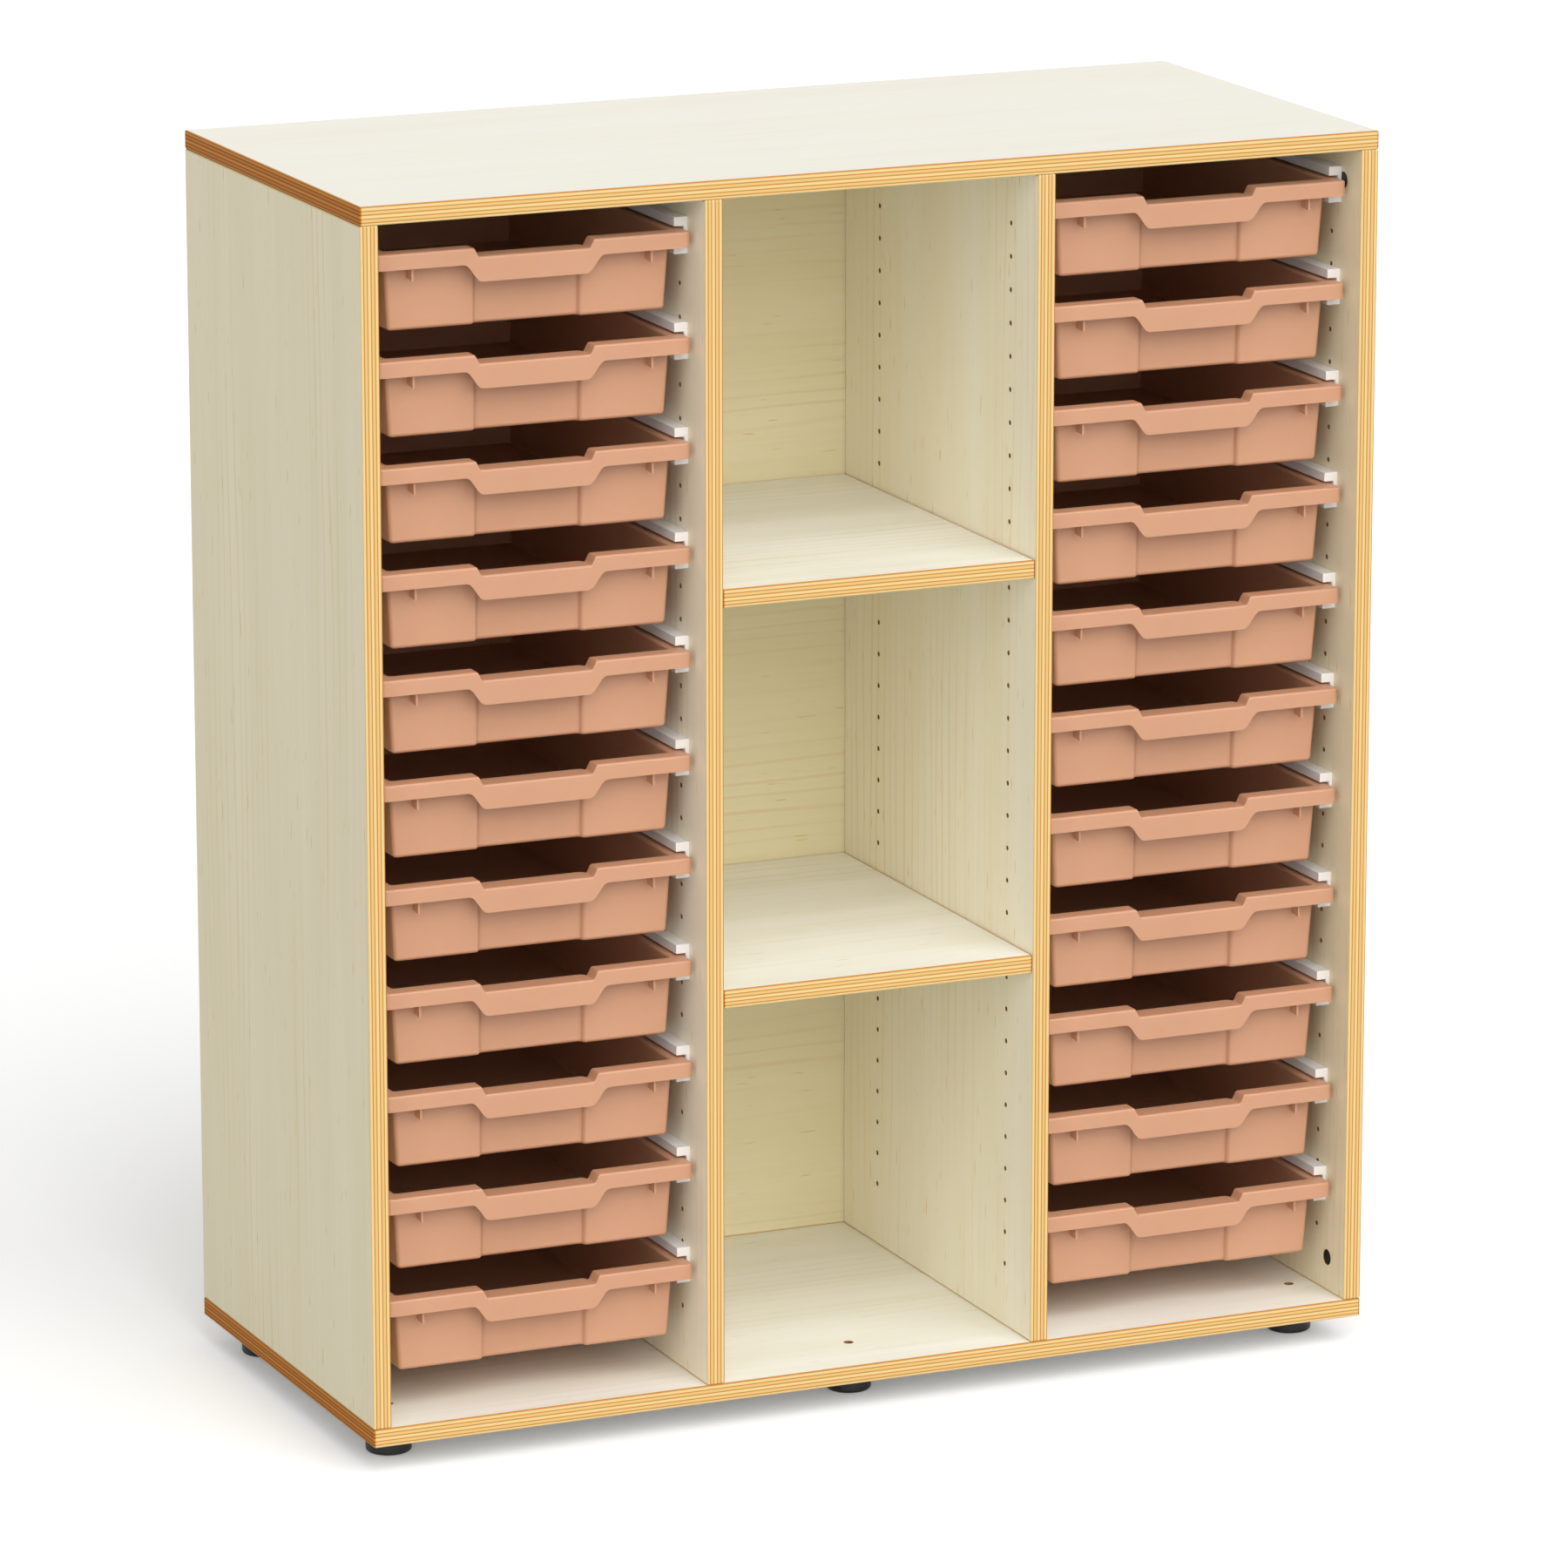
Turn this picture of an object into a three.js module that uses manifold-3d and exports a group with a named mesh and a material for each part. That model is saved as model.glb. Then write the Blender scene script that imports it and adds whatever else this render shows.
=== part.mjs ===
// Classroom tray storage unit: a board carcass of three bays on levelling feet.
// The outer bays hold columns of pull-out trays on channel runners, the middle bay holds two fixed shelves.
// Millimetres, X along the front, Y from front to back, Z up, origin on the floor under the middle.
import * as THREE from "three";
import { mergeVertices } from "three/addons/utils/BufferGeometryUtils.js";
import Module from "manifold-3d";

const wasm = await Module();
wasm.setup();

// Carcass sizes
const boardThickness = 18;
const bayWidth = 322;
const bayHeight = 1142;
const cabinetDepth = 463;
const backInset = 3.5;
const shelfSetback = 2;

// Line-bored holes in the faces of the middle bay
const boreRadius = 2.5;
const boreDepth = 10;
const boreSpacing = 32;
const boreTopMargin = 55;
const boreBottomMargin = 40;
const boreFrontInset = 60;
const boreRearInset = 82;
const boreSides = 6;

// Shelf dowels, cam locks and their fits
const fitClearance = 0.3;
const dowelRadius = 4;
const dowelLength = 30;
const dowelDivide = 12;
const dowelFrontInset = 100;
const dowelRearInset = 120;
const camRadius = 7.5;
const camLength = 12.5;
const camEdgeDistance = 34;
const camFrontInset = 37;
const camRearInset = 40;

// Levelling feet and their threaded inserts
const footHeight = 27.5;
const footRadius = 22;
const footEdgeRounding = 3.5;
const footPadHeight = 13;
const footHubRadius = 15;
const footShoulderHeight = 4;
const stemRadius = 4.7;
const stemLength = 11;
const insertRadius = 7.5;
const insertLength = 13;
const insertFlangeRadius = 16;
const insertFlangeThickness = 2;
const accessHoleRadius = 3.5;
const footSideInset = 42;
const footFrontInset = 71.5;
const footRearInset = 56;

// Tray runners
const runnerWeb = 4;
const runnerWidth = 14;
const runnerFlange = 9;
const runnerChannel = 17;
const runnerFrontInset = 40.5;
const runnerRearGap = 6;

// Moulded trays
const trayHeight = 75;
const trayWall = 2.4;
const traySideClearance = 1.5;
const trayRearClearance = 3;
const traySetback = 20.5;
const trayTopGap = 31.7;
const traySpacing = 24.4;
const trayFloorClearance = 20;
const rimDrop = 15;
const rimSideWidth = 13.5;
const rimFrontWidth = 17.5;
const rimCornerRadius = 5;
const tubSideTaper = 4.5;
const tubEndTaper = 2.5;
const tubCornerRadius = 6;
const tubBottomRounding = 3;
const fingerRecessHalfWidth = 55.3;
const fingerRecessDepth = 5;
const notchDrop = 8.2;
const notchHalfWidth = 56;
const notchFlare = 2.3;
const gripDrop = 16.6;
const gripHalfWidth = 55;
const gripFlare = 11.7;
const gussetOffset = 118.5;
const gussetThickness = 2.4;
const gussetSetback = 5;
const gussetDrop = 10;

// Facets of round shapes: what shows, what lies hidden in a hole, and a tray's corners
const shownSides = 12;
const hiddenSides = 8;
const rimCornerSteps = 2;
const tubCornerSteps = 1;

// Places that follow from the sizes
const bayCount = 3;
const shelfCount = 2;
const overallWidth = bayCount * bayWidth + (bayCount + 1) * boardThickness;
const leftX = -overallWidth / 2;
const frontY = -cabinetDepth / 2;
const rearY = cabinetDepth / 2;
const backRearY = rearY - backInset;
const backFrontY = backRearY - boardThickness;
const baseZ = footHeight;
const bayFloorZ = baseZ + boardThickness;
const bayCeilingZ = bayFloorZ + bayHeight;
const topZ = bayCeilingZ + boardThickness;
const leftBayX = leftX + boardThickness;
const leftDividerX = leftBayX + bayWidth;
const middleBayX = leftDividerX + boardThickness;

const rimHalfWidth = bayWidth / 2 - runnerWeb - traySideClearance;
const trayLength = backFrontY - frontY - traySetback - trayRearClearance;
const trayPitch = trayHeight + traySpacing;
const topRimZ = bayCeilingZ - trayTopGap;
const trayStack = bayHeight - trayTopGap - trayHeight - trayFloorClearance;
const trayCount = Math.floor(trayStack / trayPitch) + 1;

const boardMaterial = material(0xe3d8b8, 0.55);
const trayMaterial = material(0xdca889, 0.4);
const blackPlastic = material(0x161616, 0.5);
const steel = material(0xb8b8b4, 0.35, 1);
const beech = material(0xd9b98a, 0.7);

function material(color, roughness, metalness = 0) {
  return new THREE.MeshStandardMaterial({ color, roughness, metalness, flatShading: true });
}

// Solids: three.js geometry to a closed solid for joining and cutting, and back
function solidOf(geometry) {
  const bare = new THREE.BufferGeometry();
  bare.setAttribute("position", geometry.getAttribute("position"));
  bare.setIndex(geometry.getIndex());
  const merged = mergeVertices(bare, 1e-4);
  const mesh = new wasm.Mesh({
    numProp: 3,
    vertProperties: merged.getAttribute("position").array,
    triVerts: new Uint32Array(merged.getIndex().array),
  });
  return new wasm.Manifold(mesh);
}

function geometryOf(solid) {
  const { vertProperties, triVerts } = solid.getMesh();
  const geometry = new THREE.BufferGeometry();
  geometry.setAttribute("position", new THREE.BufferAttribute(vertProperties, 3));
  geometry.setIndex(new THREE.BufferAttribute(triVerts, 1));
  geometry.computeVertexNormals();
  return geometry;
}

// A board given by its lowest and highest corner, so that boards that meet share one plane.
function board(low, high) {
  const size = new THREE.Vector3().subVectors(high, low);
  const middle = new THREE.Vector3().addVectors(low, high).multiplyScalar(0.5);
  const place = new THREE.Matrix4().compose(middle, new THREE.Quaternion(), size);
  return new THREE.BoxGeometry(1, 1, 1).applyMatrix4(place);
}

// A profile of [x, z] points, extruded along Y from y0 to y1.
function extrudeAlongY(profile, y0, y1) {
  const shape = new THREE.Shape(profile.map(([x, z]) => new THREE.Vector2(x, z)));
  const geometry = new THREE.ExtrudeGeometry(shape, { depth: y1 - y0, bevelEnabled: false });
  return geometry.rotateX(Math.PI / 2).translate(0, y1, 0);
}

// A profile of [y, z] points, extruded along X from x0 to x1.
function extrudeAlongX(profile, x0, x1) {
  const shape = new THREE.Shape(profile.map(([y, z]) => new THREE.Vector2(y, z)));
  const geometry = new THREE.ExtrudeGeometry(shape, { depth: x1 - x0, bevelEnabled: false });
  return geometry.rotateX(Math.PI / 2).rotateZ(Math.PI / 2).translate(x0, 0, 0);
}

// A round bar along X that starts at x0, on the line (y, z).
function barAlongX(radius, x0, length, y, z, sides) {
  const angles = Array.from({ length: sides }, (_, i) => (2 * Math.PI * i) / sides);
  const profile = angles.map((angle) => [y + radius * Math.cos(angle), z + radius * Math.sin(angle)]);
  return extrudeAlongX(profile, x0, x0 + length);
}

// A profile of [radius, z] points turned about Z.
function turned(profile, sides) {
  const points = profile.map(([radius, z]) => new THREE.Vector2(radius, z));
  return new THREE.LatheGeometry(points, sides).rotateX(Math.PI / 2);
}

// A closed skin through rings of equally many points, from the lowest ring to the highest.
function loft(rings) {
  const count = rings[0].points.length;
  const positions = rings.flatMap(({ points, z }) => points.flatMap(({ x, y }) => [x, y, z]));
  const index = [];
  for (let level = 0; level + 1 < rings.length; level++) {
    for (let i = 0; i < count; i++) {
      const here = level * count + i;
      const next = level * count + ((i + 1) % count);
      index.push(here, next, next + count, here, next + count, here + count);
    }
  }
  const lastRing = (rings.length - 1) * count;
  for (const [a, b, c] of THREE.ShapeUtils.triangulateShape(rings[0].points, [])) {
    index.push(a, c, b);
  }
  for (const [a, b, c] of THREE.ShapeUtils.triangulateShape(rings.at(-1).points, [])) {
    index.push(lastRing + a, lastRing + b, lastRing + c);
  }
  const geometry = new THREE.BufferGeometry();
  geometry.setAttribute("position", new THREE.Float32BufferAttribute(positions, 3));
  geometry.setIndex(index);
  return geometry;
}

// Points of one rounded corner, counter-clockwise from a start angle.
function corner(x, y, radius, startAngle, steps) {
  const points = [];
  for (let step = 0; step <= steps; step++) {
    const angle = startAngle + (step / steps) * (Math.PI / 2);
    points.push(new THREE.Vector2(x + radius * Math.cos(angle), y + radius * Math.sin(angle)));
  }
  return points;
}

// A rounded rectangle seen from above, counter-clockwise, with any extra points of its front edge first.
function roundedOutline(halfWidth, front, rear, radius, steps, frontEdge = []) {
  return [
    ...frontEdge,
    ...corner(halfWidth - radius, front + radius, radius, -Math.PI / 2, steps),
    ...corner(halfWidth - radius, rear - radius, radius, 0, steps),
    ...corner(-halfWidth + radius, rear - radius, radius, Math.PI / 2, steps),
    ...corner(-halfWidth + radius, front + radius, radius, Math.PI, steps),
  ];
}

// The tub's outline with the finger recess in its front wall.
// Inset is how far the surface lies inside the outer face, taper is the share of the full taper.
function tubOutline(inset, taper, rounding = 0) {
  const halfWidth = rimHalfWidth - rimSideWidth - inset - taper * tubSideTaper - rounding;
  const front = rimFrontWidth + inset + taper * tubEndTaper + rounding;
  const rear = trayLength - rimSideWidth - inset - taper * tubEndTaper - rounding;
  const recessHalf = fingerRecessHalfWidth + inset + rounding;
  const recessY = front + fingerRecessDepth;
  const recess = [
    new THREE.Vector2(-recessHalf, front),
    new THREE.Vector2(-recessHalf, recessY),
    new THREE.Vector2(recessHalf, recessY),
    new THREE.Vector2(recessHalf, front),
  ];
  return roundedOutline(halfWidth, front, rear, tubCornerRadius - inset, tubCornerSteps, recess);
}

// One moulded tray: tapered tub, turned-down rim, dropped finger grip at the front.
// Its own origin is at the middle of the rim's front edge, on top of the rim.
function trayGeometry() {
  const overlap = trayWall / 2;
  const rimOuter = roundedOutline(rimHalfWidth, 0, trayLength, rimCornerRadius, rimCornerSteps);
  const rimInner = roundedOutline(
    rimHalfWidth - trayWall,
    trayWall,
    trayLength - trayWall,
    rimCornerRadius - trayWall,
    tubCornerSteps,
  );
  const rimBlock = loft([
    { points: rimOuter, z: -rimDrop },
    { points: rimOuter, z: 0 },
  ]);
  const underRim = loft([
    { points: rimInner, z: -rimDrop - overlap },
    { points: rimInner, z: -trayWall },
  ]);
  const tubOuter = loft([
    { points: tubOutline(0, 1, tubBottomRounding), z: -trayHeight },
    { points: tubOutline(0, 1), z: -trayHeight + tubBottomRounding },
    { points: tubOutline(0, 0), z: -overlap },
  ]);
  const tubInner = loft([
    { points: tubOutline(trayWall, 1), z: -trayHeight + trayWall },
    { points: tubOutline(trayWall, 0), z: overlap },
  ]);

  const gripDepth = rimFrontWidth + fingerRecessDepth + trayWall + overlap;
  const notchTop = notchHalfWidth + notchFlare;
  const notch = [
    [-notchTop, overlap],
    [-notchTop, 0],
    [-notchHalfWidth, -notchDrop],
    [notchHalfWidth, -notchDrop],
    [notchTop, 0],
    [notchTop, overlap],
  ];
  const notchSkin = [
    [-notchTop - trayWall, 0],
    [-notchHalfWidth - trayWall, -notchDrop - trayWall],
    [notchHalfWidth + trayWall, -notchDrop - trayWall],
    [notchTop + trayWall, 0],
    [notchTop, 0],
    [notchHalfWidth, -notchDrop],
    [-notchHalfWidth, -notchDrop],
    [-notchTop, 0],
  ];
  const grip = [
    [-gripHalfWidth - gripFlare, -rimDrop],
    [-gripHalfWidth, -rimDrop - gripDrop],
    [gripHalfWidth, -rimDrop - gripDrop],
    [gripHalfWidth + gripFlare, -rimDrop],
    [notchHalfWidth, -notchDrop],
    [-notchHalfWidth, -notchDrop],
  ];
  const gussetRoot = rimFrontWidth + tubEndTaper + overlap;
  const gusset = [
    [gussetSetback, -overlap],
    [gussetSetback, -rimDrop - gussetDrop],
    [gussetRoot, -rimDrop],
    [gussetRoot, -overlap],
  ];

  let tray = solidOf(rimBlock).subtract(solidOf(underRim)).add(solidOf(tubOuter));
  for (const side of [-1, 1]) {
    const middle = side * gussetOffset;
    const half = gussetThickness / 2;
    tray = tray.add(solidOf(extrudeAlongX(gusset, middle - half, middle + half)));
  }
  tray = tray.subtract(solidOf(extrudeAlongY(notch, -overlap, gripDepth)));
  tray = tray.add(solidOf(extrudeAlongY(notchSkin, 0, gripDepth)));
  tray = tray.add(solidOf(extrudeAlongY(grip, 0, trayWall)));
  return geometryOf(tray.subtract(solidOf(tubInner)));
}

// Runners: channels that open towards the tray, one below the other on an upright's face
function runnerProfile(faceX, away, rimZ) {
  const x = (offset) => faceX + away * offset;
  const seat = rimZ - rimDrop - fitClearance;
  const low = seat - runnerFlange;
  const ceiling = seat + runnerChannel;
  const high = ceiling + runnerFlange;
  const profile = [
    [x(0), low],
    [x(runnerWidth), low],
    [x(runnerWidth), seat],
    [x(runnerWeb), seat],
    [x(runnerWeb), ceiling],
    [x(runnerWidth), ceiling],
    [x(runnerWidth), high],
    [x(0), high],
  ];
  return away > 0 ? profile : profile.reverse();
}

function withRunners(upright, faceX, away) {
  const start = frontY + runnerFrontInset;
  const end = backFrontY - runnerRearGap;
  let joined = upright;
  for (let i = 0; i < trayCount; i++) {
    const profile = runnerProfile(faceX, away, topRimZ - i * trayPitch);
    joined = joined.add(solidOf(extrudeAlongY(profile, start, end)));
  }
  return joined;
}

// Cam locks sit in pockets of the side panels' inner faces, near the top and bottom panels.
const camHighZ = bayCeilingZ - camEdgeDistance;
const camLowZ = bayFloorZ + camEdgeDistance;
const camFrontY = frontY + camFrontInset;
const camRearY = backFrontY - camRearInset;
const camPlaces = [
  { name: "top_front", y: camFrontY, z: camHighZ },
  { name: "bottom_front", y: camFrontY, z: camLowZ },
  { name: "bottom_rear", y: camRearY, z: camLowZ },
];

function sidePanelGeometry() {
  const low = new THREE.Vector3(leftX, frontY, bayFloorZ);
  const high = new THREE.Vector3(leftBayX, rearY, bayCeilingZ);
  let panel = solidOf(board(low, high));
  const pocketDepth = camLength + 2 * fitClearance;
  for (const { y, z } of camPlaces) {
    const start = leftBayX - pocketDepth;
    const pocket = barAlongX(camRadius + fitClearance, start, pocketDepth, y, z, shownSides);
    panel = panel.subtract(solidOf(pocket));
  }
  return geometryOf(withRunners(panel, leftBayX, 1));
}

function camGeometry() {
  return barAlongX(camRadius, 0, camLength, 0, 0, shownSides);
}

// Shelves share the clear height equally and hang on dowels between the dividers.
const shelfClearHeight = (bayHeight - shelfCount * boardThickness) / (shelfCount + 1);
const shelves = ["lower", "upper"].map((name, i) => {
  const z = bayFloorZ + shelfClearHeight * (i + 1) + boardThickness * i;
  return { name, z, dowelZ: z + boardThickness / 2 };
});
const dowelRows = [
  { name: "front", y: frontY + dowelFrontInset },
  { name: "rear", y: backFrontY - dowelRearInset },
];

function dowelSocket(startX, length, y, z) {
  return barAlongX(dowelRadius + fitClearance, startX, length, y, z, hiddenSides);
}

function dividerGeometry() {
  const low = new THREE.Vector3(leftDividerX, frontY, bayFloorZ);
  const high = new THREE.Vector3(middleBayX, backFrontY, bayCeilingZ);
  let panel = withRunners(solidOf(board(low, high)), leftDividerX, -1);
  const boreStart = middleBayX - boreDepth;
  const boreRun = bayHeight - boreTopMargin - boreBottomMargin;
  const boreCount = Math.floor(boreRun / boreSpacing) + 1;
  const boreLength = boreDepth + fitClearance;
  for (const y of [frontY + boreFrontInset, backFrontY - boreRearInset]) {
    for (let i = 0; i < boreCount; i++) {
      const z = bayCeilingZ - boreTopMargin - i * boreSpacing;
      panel = panel.subtract(solidOf(barAlongX(boreRadius, boreStart, boreLength, y, z, boreSides)));
    }
  }
  const socketStart = middleBayX - dowelDivide - fitClearance;
  const socketLength = dowelDivide + 2 * fitClearance;
  for (const { dowelZ } of shelves) {
    for (const { y } of dowelRows) {
      panel = panel.subtract(solidOf(dowelSocket(socketStart, socketLength, y, dowelZ)));
    }
  }
  return geometryOf(panel);
}

function shelfGeometry({ z, dowelZ }) {
  const low = new THREE.Vector3(middleBayX, frontY + shelfSetback, z);
  const high = new THREE.Vector3(-middleBayX, backFrontY, z + boardThickness);
  let shelf = solidOf(board(low, high));
  const socketLength = dowelLength - dowelDivide + 2 * fitClearance;
  const starts = [middleBayX - fitClearance, -middleBayX + fitClearance - socketLength];
  for (const { y } of dowelRows) {
    for (const start of starts) {
      shelf = shelf.subtract(solidOf(dowelSocket(start, socketLength, y, dowelZ)));
    }
  }
  return geometryOf(shelf);
}

function dowelGeometry() {
  return barAlongX(dowelRadius, -dowelDivide, dowelLength, 0, 0, hiddenSides);
}

// Feet screw into inserts under the bottom panel, and a key reaches them through a hole from above.
const footPlaces = [
  { name: "front_left", x: leftX + footSideInset, y: frontY + footFrontInset },
  { name: "front_middle", x: 0, y: frontY + footFrontInset },
  { name: "front_right", x: -leftX - footSideInset, y: frontY + footFrontInset },
  { name: "rear_left", x: leftX + footSideInset, y: rearY - footRearInset },
  { name: "rear_middle", x: 0, y: rearY - footRearInset },
  { name: "rear_right", x: -leftX - footSideInset, y: rearY - footRearInset },
];

function bottomPanelGeometry() {
  const low = new THREE.Vector3(leftX, frontY, baseZ);
  const high = new THREE.Vector3(-leftX, rearY, bayFloorZ);
  let panel = solidOf(board(low, high));
  const pocketRadius = insertRadius + fitClearance;
  const pocketTop = insertLength + fitClearance;
  const steppedHole = [
    [0, -fitClearance],
    [pocketRadius, -fitClearance],
    [pocketRadius, pocketTop],
    [accessHoleRadius, pocketTop],
    [accessHoleRadius, boardThickness + fitClearance],
    [0, boardThickness + fitClearance],
  ];
  for (const { x, y } of footPlaces) {
    panel = panel.subtract(solidOf(turned(steppedHole, hiddenSides).translate(x, y, baseZ)));
  }
  return geometryOf(panel);
}

function footGeometry() {
  const hubTop = footHeight - insertFlangeThickness - fitClearance;
  const stemTop = footHeight + stemLength;
  const profile = [
    [0, 0],
    [footRadius - footEdgeRounding, 0],
    [footRadius, footEdgeRounding],
    [footRadius, footPadHeight],
    [footHubRadius, footPadHeight + footShoulderHeight],
    [footHubRadius, hubTop],
    [stemRadius, hubTop],
    [stemRadius, stemTop],
    [0, stemTop],
  ];
  return turned(profile, shownSides);
}

function insertGeometry() {
  const threadRadius = (stemRadius + fitClearance) / Math.cos(Math.PI / hiddenSides);
  const profile = [
    [threadRadius, -insertFlangeThickness],
    [insertFlangeRadius, -insertFlangeThickness],
    [insertFlangeRadius, 0],
    [insertRadius, 0],
    [insertRadius, insertLength],
    [threadRadius, insertLength],
    [threadRadius, -insertFlangeThickness],
  ];
  return turned(profile, hiddenSides);
}

// Assembly
function piece(name, geometry, finish, x = 0, y = 0, z = 0) {
  const mesh = new THREE.Mesh(geometry, finish);
  mesh.name = name;
  mesh.position.set(x, y, z);
  return mesh;
}

function mirroredPiece(name, geometry, finish) {
  const mesh = piece(name, geometry, finish);
  mesh.scale.x = -1;
  return mesh;
}

function carcass() {
  const group = new THREE.Group();
  const topLow = new THREE.Vector3(leftX, frontY, bayCeilingZ);
  const topHigh = new THREE.Vector3(-leftX, rearY, topZ);
  const backLow = new THREE.Vector3(leftBayX, backFrontY, bayFloorZ);
  const backHigh = new THREE.Vector3(-leftBayX, backRearY, bayCeilingZ);
  const side = sidePanelGeometry();
  const divider = dividerGeometry();
  group.add(
    piece("top_panel", board(topLow, topHigh), boardMaterial),
    piece("bottom_panel", bottomPanelGeometry(), boardMaterial),
    piece("back_panel", board(backLow, backHigh), boardMaterial),
    piece("left_side_panel", side, boardMaterial),
    mirroredPiece("right_side_panel", side, boardMaterial),
    piece("left_divider", divider, boardMaterial),
    mirroredPiece("right_divider", divider, boardMaterial),
  );
  for (const shelf of shelves) {
    group.add(piece(`${shelf.name}_shelf`, shelfGeometry(shelf), boardMaterial));
  }
  return group;
}

function trays() {
  const group = new THREE.Group();
  const geometry = trayGeometry();
  const columnX = bayWidth + boardThickness;
  for (const [name, x] of [["left", -columnX], ["right", columnX]]) {
    const column = new THREE.Group();
    column.position.set(x, frontY + traySetback, topRimZ);
    for (let i = 0; i < trayCount; i++) {
      const number = String(i + 1).padStart(2, "0");
      column.add(piece(`tray_${name}_${number}`, geometry, trayMaterial, 0, 0, -i * trayPitch));
    }
    group.add(column);
  }
  return group;
}

function shelfDowels() {
  const group = new THREE.Group();
  const geometry = dowelGeometry();
  for (const shelf of shelves) {
    for (const row of dowelRows) {
      const left = piece(`shelf_dowel_${shelf.name}_left_${row.name}`, geometry, beech);
      left.position.set(middleBayX, row.y, shelf.dowelZ);
      const right = mirroredPiece(`shelf_dowel_${shelf.name}_right_${row.name}`, geometry, beech);
      right.position.set(-middleBayX, row.y, shelf.dowelZ);
      group.add(left, right);
    }
  }
  return group;
}

function camLocks() {
  const group = new THREE.Group();
  const geometry = camGeometry();
  const startX = leftBayX - camLength - fitClearance;
  for (const { name, y, z } of camPlaces) {
    const left = piece(`cam_lock_left_${name}`, geometry, blackPlastic, startX, y, z);
    const right = mirroredPiece(`cam_lock_right_${name}`, geometry, blackPlastic);
    right.position.set(-startX, y, z);
    group.add(left, right);
  }
  return group;
}

function feet() {
  const group = new THREE.Group();
  const foot = footGeometry();
  const insert = insertGeometry();
  for (const { name, x, y } of footPlaces) {
    group.add(
      piece(`foot_${name}`, foot, blackPlastic, x, y, 0),
      piece(`foot_insert_${name}`, insert, steel, x, y, baseZ),
    );
  }
  return group;
}

const unit = new THREE.Group();
unit.name = "classroom_tray_storage_unit";
unit.add(carcass(), trays(), shelfDowels(), camLocks(), feet());

export default unit;
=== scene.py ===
"""Classroom tray storage unit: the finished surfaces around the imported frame, in metres."""

import itertools
import math

import bmesh
import bpy
from mathutils import Matrix, Vector


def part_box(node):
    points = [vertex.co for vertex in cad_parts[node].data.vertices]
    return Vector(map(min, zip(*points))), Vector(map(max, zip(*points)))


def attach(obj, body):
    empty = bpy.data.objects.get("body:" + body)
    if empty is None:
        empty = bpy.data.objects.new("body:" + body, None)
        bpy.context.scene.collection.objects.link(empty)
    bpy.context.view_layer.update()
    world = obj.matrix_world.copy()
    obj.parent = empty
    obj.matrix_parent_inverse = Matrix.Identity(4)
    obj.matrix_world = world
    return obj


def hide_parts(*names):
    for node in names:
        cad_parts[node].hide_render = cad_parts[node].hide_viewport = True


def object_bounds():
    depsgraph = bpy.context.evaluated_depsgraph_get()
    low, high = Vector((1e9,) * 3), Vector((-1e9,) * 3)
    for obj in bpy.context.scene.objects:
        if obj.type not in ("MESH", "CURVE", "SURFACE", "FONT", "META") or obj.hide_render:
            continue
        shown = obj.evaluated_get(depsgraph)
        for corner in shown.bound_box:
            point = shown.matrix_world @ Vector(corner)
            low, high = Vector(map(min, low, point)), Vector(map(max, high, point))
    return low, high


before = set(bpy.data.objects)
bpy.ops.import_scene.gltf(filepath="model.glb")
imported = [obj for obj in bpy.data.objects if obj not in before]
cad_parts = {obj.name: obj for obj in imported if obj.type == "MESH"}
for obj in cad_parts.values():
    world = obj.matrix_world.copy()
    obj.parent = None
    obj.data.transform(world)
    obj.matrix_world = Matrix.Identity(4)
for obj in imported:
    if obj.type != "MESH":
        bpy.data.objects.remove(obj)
cad_low, cad_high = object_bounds()
TRAYS = [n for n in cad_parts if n.startswith("tray_")]
FEET = [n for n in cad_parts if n.startswith("foot_") and "insert" not in n]

MM = 0.001
X, Y, Z = 0, 1, 2

# Camera, fitted to the corners of the unit in a square photograph
CAMERA_PLACE = (-3.305, -7.499, 2.578)
CAMERA_YAW = 23.8
CAMERA_PITCH = 13.8
FOCAL_PIXELS = 10000
PHOTO_PIXELS = 1800
SENSOR_WIDTH = 36
CLIP_END = 200

# Boards
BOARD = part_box("top_panel")[1].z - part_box("top_panel")[0].z
EDGE_ROUNDING = 1.6 * MM
BORE_RADIUS = 2.5 * MM
BORE_DEPTH = 8 * MM
BORE_SIDES = 16
BORE_SPACING = 32 * MM
BORE_TOP_MARGIN = 55 * MM
BORE_BOTTOM_MARGIN = 40 * MM
BORE_FRONT_INSET = 60 * MM
BORE_REAR_INSET = 82 * MM
CAM_RADIUS = 7.5 * MM
CAM_ROUNDING = 0.6 * MM
CAM_SIDES = 48
CAM_POCKET_PLAY = 0.4 * MM
CAM_SLOT_WIDTH = 1.6 * MM
CAM_SLOT_LENGTH = 9 * MM
CAM_SLOT_DEPTH = 2.5 * MM
ACCESS_HOLE_RADIUS = 4.9 * MM
INSERT_POCKET_RADIUS = 7.8 * MM
INSERT_POCKET_DEPTH = 13.3 * MM
FOOT_HOLE_SIDES = 24
SMOOTH_ANGLE = 35

# Runners
RUNNER_WEB = 4 * MM
RUNNER_WIDTH = 14 * MM
RUNNER_FLANGE = 9 * MM
RUNNER_CHANNEL = 17 * MM
RUNNER_FRONT_INSET = 40.5 * MM
RUNNER_REAR_GAP = 6 * MM
RUNNER_ROUNDING = 0.8 * MM

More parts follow.
